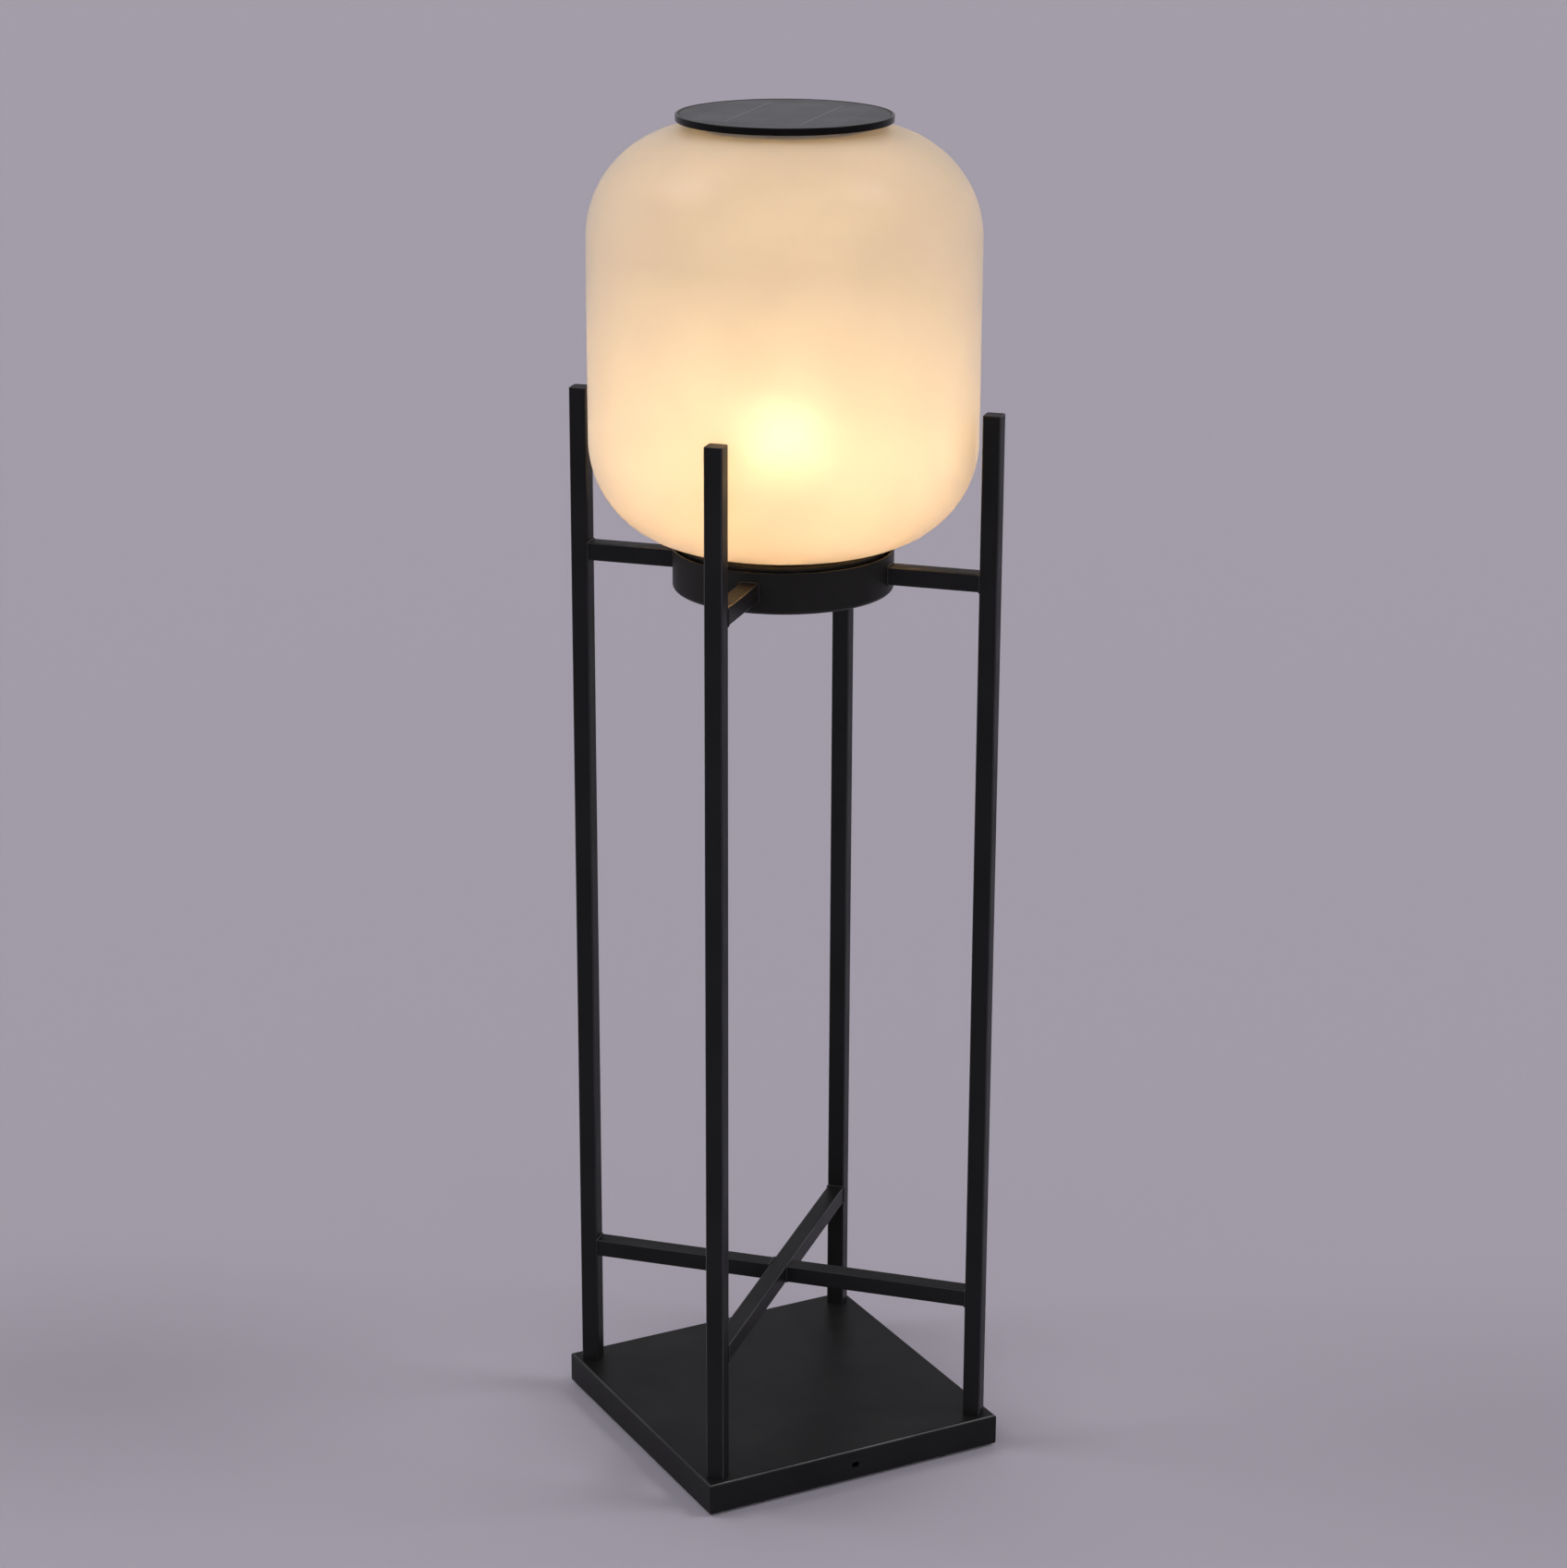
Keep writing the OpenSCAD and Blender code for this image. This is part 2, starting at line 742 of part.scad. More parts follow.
// Route of the panel lead inside the rear wall of the shade, from the lower plug to the upper one
function lead_route() =
  let (
    low_end = plug_reach + plug_length_y / 2,
    stub = low_end + 2 * lead_radius,
    foot_centre = [foot_radius, foot_z + foot_arc],
    neck_centre = [neck_radius, shoulder_z - neck_arc],
    lower = arc_points(foot_centre, lead_foot_arc, -60, 0, 12),
    upper = arc_points(neck_centre, lead_neck_arc, 0, 40, 9),
    leave = upper[len(upper) - 1],
    steep = lead_neck_arc * 0.35
  )
  concat(
    [[low_end, lead_low], [stub, lead_low]],
    bezier_points([stub, lead_low], [foot_radius, lead_low], lower[0] - 22 * [cos(30), sin(30)],
                  lower[0], 9),
    [for (i = [1 : len(lower) - 1]) lower[i]],
    upper,
    bezier_points(leave, leave + steep * [-sin(40), cos(40)], [neck_radius + 18, lead_high],
                  [stub, lead_high], 12),
    [[low_end, lead_high]]
  );

module panel_lead() {
  color("#d9d9d6") wire(lead_route(), lead_radius);
}

module lead_clips() {
  reach = shade_radius - lead_inset;
  low = foot_z + foot_arc + clip_height;
  high = shoulder_z - neck_arc - 2 * clip_height;
  color("#e8e6df")
    for (index = [0 : CLIP_COUNT - 1])
      translate([0, 0, low + (high - low) * index / (CLIP_COUNT - 1)])
        difference() {
          intersection() {
            translate([-clip_width / 2, shade_radius - shade_wall - clip_depth, 0])
              cube([clip_width, clip_depth, clip_height]);
            cylinder(r = shade_radius - shade_wall - thread_gap, h = clip_height, $fn = 360);
          }
          translate([0, reach, -1]) cylinder(r = lead_radius + thread_gap, h = clip_height + 2);
        }
}

module lead_plugs() {
  color("#f0eee8")
    for (z = [lead_low, lead_high])
      translate([-plug_width_x / 2, plug_reach - plug_length_y / 2, z - plug_height / 2])
        cube([plug_width_x, plug_length_y, plug_height]);
}

// ---------------------------------------------------------------- bulb

module bulb_cap() {
  low = holder_rim - cap_length;
  root = cap_radius - thread_depth;
  color("#c9cbcd") {
    translate([0, 0, low])
      rotate_extrude()
        difference() {
          union() {
            square([root, cap_length]);
            for (index = [0 : THREAD_RINGS - 1])
              translate([cap_radius - thread_round, 2.2 + index * thread_pitch])
                circle(thread_round, $fn = 32);
          }
          translate([-2 * cap_radius, -1]) square([2 * cap_radius + root - 0.4, cap_length + 2]);
        }
    translate([0, 0, low - 2]) cylinder(r1 = 6, r2 = root - 0.5, h = 2 + EPS);
    translate([0, 0, low]) cylinder(r = root - 0.2, h = 1);
    translate([0, 0, low - 3]) cylinder(r = 4, h = 1 + EPS);
  }
}

module bulb_collar() {
  color("#f2f1ee") translate([0, 0, holder_rim])
    difference() {
      rotate_extrude()
        polygon([[0, 0], [cap_radius + 1, 0], [cap_radius + 2, 1.5], [cap_radius + 4, 8],
                 [dome_mouth - 4, collar_height - 12], [dome_mouth, collar_height - 4],
                 [dome_mouth, collar_height], [0, collar_height]]);
      translate([0, 0, collar_height - board_depth])
        cylinder(r = led_board_radius + thread_gap, h = board_depth + 1);
    }
}

module led_board() {
  color("#f4f4f0") translate([0, 0, collar_top - board_depth]) {
    cylinder(r = led_board_radius, h = 1.2);
    for (index = [0 : led_count - 1])
      rotate([0, 0, index * 360 / led_count]) translate([led_reach - led_size / 2, -led_size / 2, 1.2 - EPS])
        cube([led_size, led_size, 0.8]);
  }
}

module bulb_dome() {
  color("#fff3d0")
    difference() {
      translate([0, 0, dome_centre]) sphere(r = bulb_radius);
      translate([0, 0, dome_centre]) sphere(r = bulb_radius - dome_wall);
      translate([0, 0, collar_top - 2 * bulb_radius]) cylinder(r = 2 * bulb_radius, h = 2 * bulb_radius);
    }
}

// ---------------------------------------------------------------- shade

// Half section of the jar, filled, with the wall taken off by "inset" all round
module jar_section(inset) {
  radius = shade_radius - inset;
  lower = foot_arc - inset;
  upper = neck_arc - inset;
  lower_z = foot_z + foot_arc;
  upper_z = shoulder_z - neck_arc;
  translate([0, lower_z]) square([radius, upper_z - lower_z]);
  translate([0, foot_z + inset]) square([foot_radius, lower + EPS]);
  translate([0, upper_z - EPS]) square([neck_radius, upper + EPS]);
  intersection() {
    translate([foot_radius, lower_z]) circle(lower);
    translate([foot_radius - EPS, lower_z - lower]) square([lower + EPS, lower + EPS]);
  }
  intersection() {
    translate([neck_radius, upper_z]) circle(upper);
    translate([neck_radius - EPS, upper_z - EPS]) square([upper + EPS, upper + EPS]);
  }
}

module shade() {
  color("#f3e3cb", 0.75)
    rotate_extrude($fn = 128)
      difference() {
        union() {
          jar_section(0);
          translate([0, shoulder_z - EPS]) square([neck_radius, neck_height + EPS]);
        }
        jar_section(shade_wall);
        translate([-1, foot_z - 1]) square([foot_opening + 1, shade_wall + 2]);
        translate([-1, shoulder_z - shade_wall - 1]) square([neck_bore + 1, neck_height + shade_wall + 2]);
      }
}

// ---------------------------------------------------------------- lid

module lid_dish() {
  round = 1;
  groove_z = lid_z - spigot_depth / 2;
  color("#101011") {
    rotate_extrude()
      difference() {
        union() {
          translate([0, lid_z + round]) square([lid_radius, lid_thickness - 2 * round]);
          translate([0, lid_z]) square([lid_radius - round, lid_thickness]);
          for (z = [lid_z + round, lid_top - round]) translate([lid_radius - round, z]) circle(round);
          translate([spigot_radius - 3, lid_z - spigot_depth]) square([3, spigot_depth + EPS]);
        }
        translate([-1, lid_top - panel_recess]) square([lid_radius - lid_rim + 1, panel_recess + 1]);
        translate([spigot_radius - 1.5, groove_z - seal_section / 2 - slip])
          square([3, seal_section + 2 * slip]);
      }
  }
}

module solar_panel() {
  color("#3a3c42") translate([0, 0, lid_top - panel_recess])
    cylinder(r = panel_radius, h = panel_thickness);
}

// Two thin ribbons along the cell, parallel to the diagonal through the front and back posts
module bus_lines() {
  ribbon = 1;
  proud = 0.08;
  color("#b9bcc4") translate([0, 0, lid_top - panel_recess + panel_thickness])
    rotate([0, 0, 45])
      for (side = [-1, 1])
        translate([-cell_side / 2, side * bus_spacing / 2 - ribbon / 2, 0])
          cube([cell_side, ribbon, proud]);
}

module lid_seal() {
  seat = spigot_radius - 1.5 + thread_gap;
  color("#d8d6d0") translate([0, 0, lid_z - spigot_depth / 2])
    rotate_extrude()
      intersection() {
        translate([seat + seal_section / 2 - slip, 0]) circle(seal_section / 2);
        translate([seat, -seal_section]) square([neck_bore - slip - seat + 0.2, 2 * seal_section]);
      }
}

module junction_box() {
  width = 34;
  depth = 26;
  height = lid_z - socket_high - 7;
  color("#161617") {
    translate([-width / 2, plug_reach - 6 - depth / 2, lid_z - height]) cube([width, depth, height]);
    translate([-plug_width_x / 2, plug_reach - plug_length_y / 2, socket_high])
      cube([plug_width_x, plug_length_y, lid_z - height - socket_high + EPS]);
  }
}

base_pan();
rubber_pads();
ballast_plate();
ballast_nuts();
base_bolts();
base_washers();
post_front();
post_right();
post_back();
post_left();
post_plugs();
post_caps();
brace_through();
brace_left();
brace_right();
arm_front();
arm_right();
arm_back();
arm_left();
cup();
gear_case();
case_screws();
battery_tray();
battery_cells();
controller_board();
switch_body();
switch_nut();
button();
lampholder();
holder_contacts();
holder_nipple();
nipple_nut();
lamp_leads();
seat_gasket();
bulb_cap();
bulb_collar();
led_board();
bulb_dome();
shade();
panel_lead();
lead_clips();
lead_plugs();
lid_dish();
solar_panel();
bus_lines();
lid_seal();
junction_box();
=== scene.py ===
"""Looks of the lantern floor lamp: finishes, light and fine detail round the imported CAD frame.

Metres, +Z up, origin on the floor in the middle of the base. What a piece fits to comes from the frame.
"""

import math

import bpy
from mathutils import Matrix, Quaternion, Vector


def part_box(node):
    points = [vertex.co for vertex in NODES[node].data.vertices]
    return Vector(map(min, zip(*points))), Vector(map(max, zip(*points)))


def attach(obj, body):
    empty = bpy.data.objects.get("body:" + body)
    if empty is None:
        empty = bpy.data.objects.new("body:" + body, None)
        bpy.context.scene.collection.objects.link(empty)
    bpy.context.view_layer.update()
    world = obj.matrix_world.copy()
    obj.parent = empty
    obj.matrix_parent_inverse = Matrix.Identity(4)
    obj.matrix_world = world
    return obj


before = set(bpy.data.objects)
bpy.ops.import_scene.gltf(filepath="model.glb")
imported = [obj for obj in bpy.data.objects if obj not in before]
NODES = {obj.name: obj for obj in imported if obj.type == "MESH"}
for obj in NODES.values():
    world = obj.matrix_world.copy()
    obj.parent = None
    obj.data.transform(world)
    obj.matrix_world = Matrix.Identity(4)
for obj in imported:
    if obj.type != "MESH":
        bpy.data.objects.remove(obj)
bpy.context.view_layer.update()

MM = 0.001


# ---------------------------------------------------------------- camera

IMAGE_LONG_SIDE = 1697
FOCAL_PIXELS = 4053.66
SENSOR = 36
CAMERA_PLACE = Vector((-1.4473, -2.7564, 1.6181))
CAMERA_AZIMUTH = -27.72
CAMERA_ELEVATION = 17.93
CAMERA_ROLL = math.radians(0.216)
CAMERA_REACH = 200


def toward(azimuth, elevation):
    """Direction to a place round the object, in degrees: azimuth 0 is the -Y side, 90 the +X side."""
    a, e = math.radians(azimuth), math.radians(elevation)
    return Vector((math.sin(a) * math.cos(e), -math.cos(a) * math.cos(e), math.sin(e)))


def make_camera():
    """Camera at the photograph's place and angle."""
    data = bpy.data.cameras.new("camera")
    data.sensor_width = SENSOR
    data.lens = FOCAL_PIXELS / IMAGE_LONG_SIDE * SENSOR
    data.clip_end = CAMERA_REACH
    camera = bpy.data.objects.new("camera", data)
    bpy.context.scene.collection.objects.link(camera)
    back = toward(CAMERA_AZIMUTH, CAMERA_ELEVATION)
    camera.rotation_mode = "QUATERNION"
    camera.rotation_quaternion = Quaternion(back, CAMERA_ROLL) @ (-back).to_track_quat("-Z", "Y")
    camera.location = CAMERA_PLACE
    bpy.context.scene.camera = camera
    bpy.context.scene.view_settings.view_transform = "Standard"


# ---------------------------------------------------------------- node helpers

def srgb(code):
    """Linear colour of a hex code, with alpha 1."""
    parts = [int(code[i:i + 2], 16) / 255 for i in (1, 3, 5)]
    return tuple(p / 12.92 if p <= 0.04045 else ((p + 0.055) / 1.055) ** 2.4 for p in parts) + (1,)


def put(tree, kind, inputs=(), **settings):
    """Adds a shader node; each input is a value, or a socket that it is linked from."""
    node = tree.nodes.new("ShaderNode" + kind)
    for key, value in settings.items():
        setattr(node, key, value)
    for key, value in dict(inputs).items():
        if isinstance(value, bpy.types.NodeSocket):
            tree.links.new(value, node.inputs[key])
        else:
            node.inputs[key].default_value = value
    return node


def calc(tree, operation, a, b=0.0):
    """Result of one Math node."""
    return put(tree, "Math", {0: a, 1: b}, operation=operation).outputs[0]


def blend(tree, share, a, b):
    """Colour between a and b by a share between 0 and 1; sockets 6 and 7 are a Mix node's two colours."""
    return put(tree, "Mix", {0: share, 6: a, 7: b}, data_type="RGBA").outputs[2]


def ramp(tree, value, low, high, to_low=0.0, to_high=1.0):
    """Carries low..high to to_low..to_high, smoothly, and holds the ends."""
    ends = {"Value": value, "From Min": low, "From Max": high, "To Min": to_low, "To Max": to_high}
    return put(tree, "MapRange", ends, interpolation_type="SMOOTHSTEP").outputs["Result"]


def height_of(tree, vector):
    """Z of a vector socket."""
    return put(tree, "SeparateXYZ", {0: vector}).outputs["Z"]


# ---------------------------------------------------------------- studio

BACKDROP = srgb("#acaab0")
FLOOR_PAINT = srgb("#cbc4d3")
FLOOR_REACH = 60
FLOOR_ROUGHNESS = 0.8
FLOOR_GLOSS = 0.2
HORIZON_STRENGTH = 1.40
ZENITH_STRENGTH = 0.10
ZENITH_FROM = 0.8
LEFT_LAMP = dict(azimuth=-122, elevation=52, strength=0.50, angle=24)
RIGHT_LAMP = dict(azimuth=57, elevation=56, strength=0.42, angle=16)


def make_world():
    """Even studio light; the camera, glass and gloss see the plain backdrop."""
    world = bpy.data.worlds.new("studio")
    bpy.context.scene.world = world
    world.use_nodes = True
    tree = world.node_tree
    tree.nodes.clear()
    path = put(tree, "LightPath").outputs
    seen = calc(tree, "MAXIMUM", calc(tree, "MAXIMUM", path["Is Camera Ray"], path["Is Transmission Ray"]),
                path["Is Glossy Ray"])
    height = height_of(tree, put(tree, "TexCoord").outputs["Generated"])
    level = ramp(tree, height, 0.0, ZENITH_FROM, HORIZON_STRENGTH, ZENITH_STRENGTH)
    light = put(tree, "Background", {"Color": (1, 1, 1, 1), "Strength": level})
    plain = put(tree, "Background", {"Color": BACKDROP, "Strength": 1})
    mix = put(tree, "MixShader", {0: seen, 1: light.outputs[0], 2: plain.outputs[0]})
    put(tree, "OutputWorld", {"Surface": mix.outputs[0]})


def make_floor():
    """Plain pale floor, which reaches past every view."""
    bpy.ops.mesh.primitive_plane_add(size=2 * FLOOR_REACH, location=(0, 0, 0))
    floor = bpy.context.object
    floor.name = "floor"
    material = bpy.data.materials.new("floor_paint")
    material.use_nodes = True
    surface = material.node_tree.nodes["Principled BSDF"]
    surface.inputs["Base Color"].default_value = FLOOR_PAINT
    surface.inputs["Roughness"].default_value = FLOOR_ROUGHNESS
    surface.inputs["Specular IOR Level"].default_value = FLOOR_GLOSS
    floor.data.materials.append(material)


def make_sun(name, azimuth, elevation, strength, angle):
    """Wide soft light from far away."""
    data = bpy.data.lights.new(name, "SUN")
    data.energy = strength
    data.angle = math.radians(angle)
    sun = bpy.data.objects.new(name, data)
    bpy.context.scene.collection.objects.link(sun)
    sun.rotation_mode = "QUATERNION"
    sun.rotation_quaternion = (-toward(azimuth, elevation)).to_track_quat("-Z", "Y")


# ---------------------------------------------------------------- shared effects

FLAT_FROM, ROUND_FROM = 0.985, 0.88     # how closely a normal follows one of the shape's own directions
HIDDEN_TO, SHOWN_FROM = -0.7, -0.2      # edges whose normals point further down than this don't shine
DUST_FROM, DUST_TO = 0.6, 1.0           # how far up a face looks before dust settles on it
NOISE_RANGE = (0.3, 0.7)
RUB_LEAST = 0.55                        # share of shine that the dullest patch of an edge keeps
DUST_CLOUD = (0.35, 0.75)
DUST_SPECK = 1.2 * MM
SPECK_RANGE, SPECK_LEAST = (0.4, 0.8), 0.3
SCUFF_STRETCH = (1, 9, 9)
SCUFF_TURN = (0.3, 0.5, 0.6)
SCUFF_WIDTH = (0.010, 0.002)
SCUFF_PATCH = 45 * MM
SCUFF_WHERE = (0.55, 0.70)


def new_group(name, inputs, outputs):
    """Empty node group: a Position input, number inputs with their values, and number outputs."""
    tree = bpy.data.node_groups.new(name, "ShaderNodeTree")
    tree.interface.new_socket("Position", in_out="INPUT", socket_type="NodeSocketVector")
    for key, value in inputs.items():
        socket = tree.interface.new_socket(key, in_out="INPUT", socket_type="NodeSocketFloat")
        socket.default_value = value
    for key in outputs:
        tree.interface.new_socket(key, in_out="OUTPUT", socket_type="NodeSocketFloat")
    return tree, tree.nodes.new("NodeGroupInput").outputs, tree.nodes.new("NodeGroupOutput").inputs


def spots(tree, position, size, detail=2.0):
    """Noise with spots of a size in metres, which may be a socket."""
    scale = calc(tree, "DIVIDE", 1.0, size)
    return put(tree, "TexNoise", {"Vector": position, "Scale": scale, "Detail": detail}).outputs["Fac"]


def make_grain():
    """Skin of a sprayed or moulded surface: a fine height, and a slow drift of its tone and sheen."""
    tree, given, out = new_group("grain", {"Size": 0.001, "Drift Size": 0.05}, ("Height", "Drift"))
    tree.links.new(spots(tree, given["Position"], given["Size"]), out["Height"])
    slow = spots(tree, given["Position"], given["Drift Size"], detail=3.0)
    tree.links.new(ramp(tree, slow, *NOISE_RANGE), out["Drift"])
    return tree


def make_folds():
    """Mask of rounded edges, which rub shinier and carry a painted highlight: a normal there follows none of
    the main directions.
    """
    tree, given, out = new_group("folds", {"Turn": 0.0, "Round": 0.0, "Patch Size": 0.05}, ("Mask",))
    normal = put(tree, "NewGeometry").outputs["Normal"]
    turned = put(tree, "VectorRotate", {"Vector": normal, "Angle": given["Turn"]}, rotation_type="Z_AXIS")
    plain = put(tree, "VectorMath", {0: turned.outputs[0]}, operation="ABSOLUTE")
    part = put(tree, "SeparateXYZ", {0: plain.outputs[0]}).outputs
    level = calc(tree, "SQRT", calc(tree, "SUBTRACT", 1.0, calc(tree, "POWER", part["Z"], 2.0)))
    square = calc(tree, "MAXIMUM", part["X"], part["Y"])
    side = put(tree, "Mix", {0: given["Round"], 2: square, 3: level}, data_type="FLOAT").outputs[0]
    edge = ramp(tree, calc(tree, "MAXIMUM", side, part["Z"]), FLAT_FROM, ROUND_FROM)
    patch = ramp(tree, spots(tree, given["Position"], given["Patch Size"], detail=4.0), *NOISE_RANGE,
                 to_low=RUB_LEAST)
    rubbed_and_highlit = calc(tree, "MULTIPLY", patch, ramp(tree, height_of(tree, normal), HIDDEN_TO, SHOWN_FROM))
    tree.links.new(calc(tree, "MULTIPLY", edge, rubbed_and_highlit), out["Mask"])
    return tree


def make_dust():
    """Mask of the fine dust that settles on faces that look up."""
    tree, given, out = new_group("dust", {"Patch Size": 0.03}, ("Mask",))
    facing = height_of(tree, put(tree, "NewGeometry").outputs["Normal"])
    cloud = ramp(tree, spots(tree, given["Position"], given["Patch Size"], detail=5.0), *DUST_CLOUD)
    speck = ramp(tree, spots(tree, given["Position"], DUST_SPECK, detail=1.0), *SPECK_RANGE,
                 to_low=SPECK_LEAST)
    share = calc(tree, "MULTIPLY", cloud, speck)
    tree.links.new(calc(tree, "MULTIPLY", ramp(tree, facing, DUST_FROM, DUST_TO), share), out["Mask"])
    return tree


def make_scuffs():
    """Mask of short hair-fine marks from handling and cleaning."""
    tree, given, out = new_group("scuffs", {"Spacing": 0.01}, ("Mask",))
    long_way = put(tree, "Mapping", {"Vector": given["Position"], "Rotation": SCUFF_TURN,
                                     "Scale": SCUFF_STRETCH})
    field = spots(tree, long_way.outputs[0], given["Spacing"], detail=3.0)
    line = ramp(tree, calc(tree, "ABSOLUTE", calc(tree, "SUBTRACT", field, 0.5)), *SCUFF_WIDTH)
    where = ramp(tree, spots(tree, given["Position"], SCUFF_PATCH), *SCUFF_WHERE)
    tree.links.new(calc(tree, "MULTIPLY", line, where), out["Mask"])
    return tree


GRAIN = make_grain()
FOLDS = make_folds()
DUST = make_dust()
SCUFFS = make_scuffs()


def effect(tree, group, position, **values):
    """Places a shared effect with its own values; returns its outputs."""
    node = put(tree, "Group", node_tree=group)
    tree.links.new(position, node.inputs["Position"])
    for key, value in values.items():
        node.inputs[key.replace("_", " ")].default_value = value
    return node.outputs


def masked(tree, share, group, position, **values):
    """A shared effect's mask at a share of its full strength."""
    return calc(tree, "MULTIPLY", effect(tree, group, position, **values)["Mask"], share)


# ---------------------------------------------------------------- finishes

DUST_COLOUR = srgb("#a9a6a2")
COAT_GLOSS = 0.12
COAT_PEEL = 0.03 * MM
COAT_SHEEN = (0.38, 0.46)
# Share and colour of the lighter edges: partly rubbed wear, partly a painted highlight along the folds
EDGE_WEAR_AND_HIGHLIGHT_TINT, EDGE_SHINE = 0.6, 0.9
RUBBED_AND_HIGHLIGHT_BLACK = srgb("#2c2b2e")
SCUFFED_BLACK = srgb("#3a393c")
LACQUER_GLOSS = 0.10
FINE_BUMP = 0.02 * MM
FAINT_BUMP = 0.01 * MM
CELL_SIDE = 125 * MM
CELL_EDGE = 0.3 * MM
FINGER_PITCH = 2 * MM
FINGER_WIDTH = (0.16 * MM, 0.06 * MM)
METAL_SCRATCH = srgb("#dcdcdc")
BOARD_PARTS = 9 * MM
BOARD_PARTS_EDGE = 0.2 * MM
BOARD_TRACKS = 90.0
TRACK_WIDTH = 0.04
FROST_ROUGHNESS = 0.32
FROST_DRIFT = 0.02
FROST_CLEAR = 0.35
FROST_GLOSS = 0.12
FROST_SPREAD = 10 * MM
FROST_DARK = (0.600, 0.579, 0.558, 1)
FROST_LIGHT = (0.630, 0.608, 0.586, 1)
GLOW_COLOUR = (1.0, 1.0, 0.58, 1)
GLOW_STRENGTH = 10.0


def new_finish(name, roughness, metallic=0.0, **constants):
    """Material whose constants stand on its shader; returns it, its tree, shader and the Object position."""
    material = bpy.data.materials.new(name)
    material.use_nodes = True
    tree = material.node_tree
    surface = tree.nodes["Principled BSDF"]
    surface.inputs["Roughness"].default_value = roughness
    surface.inputs["Metallic"].default_value = metallic
    for key, value in constants.items():
        surface.inputs[key.replace("_", " ")].default_value = value
    return material, tree, surface, put(tree, "TexCoord").outputs["Object"]


def connect(tree, surface, **links):
    """Links sockets to a shader's inputs by their names."""
    for key, value in links.items():
        tree.links.new(value, surface.inputs[key.replace("_", " ")])


def bump(tree, height, depth):
    """Normal from a height between 0 and 1 that stands for a depth in metres."""
    return put(tree, "Bump", {"Height": height, "Distance": depth}).outputs["Normal"]


def powder_coat(name, turn, round_wall, dark="#19191a", light="#1e1d1f"):
    """Satin black powder coat: fine orange peel, rounded edges shinier and painted lighter (rubbed wear and
    a painted highlight), a trace of dust and scuffs.
    """
    material, tree, surface, position = new_finish(
        name, 0.42, Specular_IOR_Level=COAT_GLOSS, Coat_Roughness=0.22)
    grain = effect(tree, GRAIN, position, Size=0.0011, Drift_Size=0.07)
    edge = effect(tree, FOLDS, position, Turn=math.radians(turn), Round=round_wall)["Mask"]
    dust = masked(tree, 0.035, DUST, position, Patch_Size=0.05)
    scuff = masked(tree, 0.25, SCUFFS, position)
    black = blend(tree, grain["Drift"], srgb(dark), srgb(light))
    # Rounded edges painted lighter: partly rubbed wear, partly a painted highlight standing in for the glint
    # on the folds
    worn_and_highlit = blend(tree, calc(tree, "MULTIPLY", edge, EDGE_WEAR_AND_HIGHLIGHT_TINT), black, RUBBED_AND_HIGHLIGHT_BLACK)
    scuffed = blend(tree, scuff, worn_and_highlit, SCUFFED_BLACK)
    sheen = ramp(tree, grain["Drift"], 0, 1, *COAT_SHEEN)
    connect(tree, surface,
            Base_Color=blend(tree, dust, scuffed, DUST_COLOUR),
            Roughness=calc(tree, "ADD", sheen, dust),
            Coat_Weight=calc(tree, "MULTIPLY", edge, EDGE_SHINE),
            Normal=bump(tree, grain["Height"], COAT_PEEL))
    return material


def gloss_lacquer():
    """Glossy black moulding of the lid, with faint wipe marks."""
    material, tree, surface, position = new_finish("gloss_black", 0.15, Specular_IOR_Level=LACQUER_GLOSS)
    grain = effect(tree, GRAIN, position, Size=0.004, Drift_Size=0.02)
    wiped = masked(tree, 0.15, SCUFFS, position, Spacing=0.006)
    connect(tree, surface,
            Base_Color=blend(tree, grain["Drift"], srgb("#0a0808"), srgb("#0f0d0d")),
            Roughness=calc(tree, "ADD", ramp(tree, grain["Drift"], 0, 1, 0.10, 0.20), wiped),
            Normal=bump(tree, grain["Height"], FAINT_BUMP))
    return material


def solar_face():
    """Dark square cell with fine printed lines under a satin cover sheet, on a black ground."""
    material, tree, surface, position = new_finish("solar_cell", 0.34)
    turned = put(tree, "Mapping", {"Vector": position, "Rotation": (0, 0, math.radians(45))})
    part = put(tree, "SeparateXYZ", {0: turned.outputs[0]}).outputs
    half = CELL_SIDE / 2
    cell = calc(tree, "MULTIPLY", *(
        ramp(tree, calc(tree, "ABSOLUTE", part[axis]), half + CELL_EDGE, half - CELL_EDGE) for axis in "XY"))
    finger = ramp(tree, calc(tree, "PINGPONG", part["Y"], FINGER_PITCH / 2), *FINGER_WIDTH)
    grain = effect(tree, GRAIN, position, Size=0.0016, Drift_Size=0.03)
    scuff = masked(tree, 0.25, SCUFFS, position, Spacing=0.008)
    dust = masked(tree, 0.02, DUST, position, Patch_Size=0.03)
    silicon = blend(tree, grain["Drift"], srgb("#26272c"), srgb("#2a2b31"))
    printed = blend(tree, calc(tree, "MULTIPLY", finger, 0.35), silicon, srgb("#8d9096"))
    face = blend(tree, cell, srgb("#1b1b1e"), printed)
    scuffed = blend(tree, scuff, face, srgb("#6f7076"))
    connect(tree, surface,
            Base_Color=blend(tree, dust, scuffed, DUST_COLOUR),
            Roughness=calc(tree, "ADD", ramp(tree, grain["Drift"], 0, 1, 0.33, 0.36), dust),
            Normal=bump(tree, grain["Height"], FINE_BUMP))
    return material


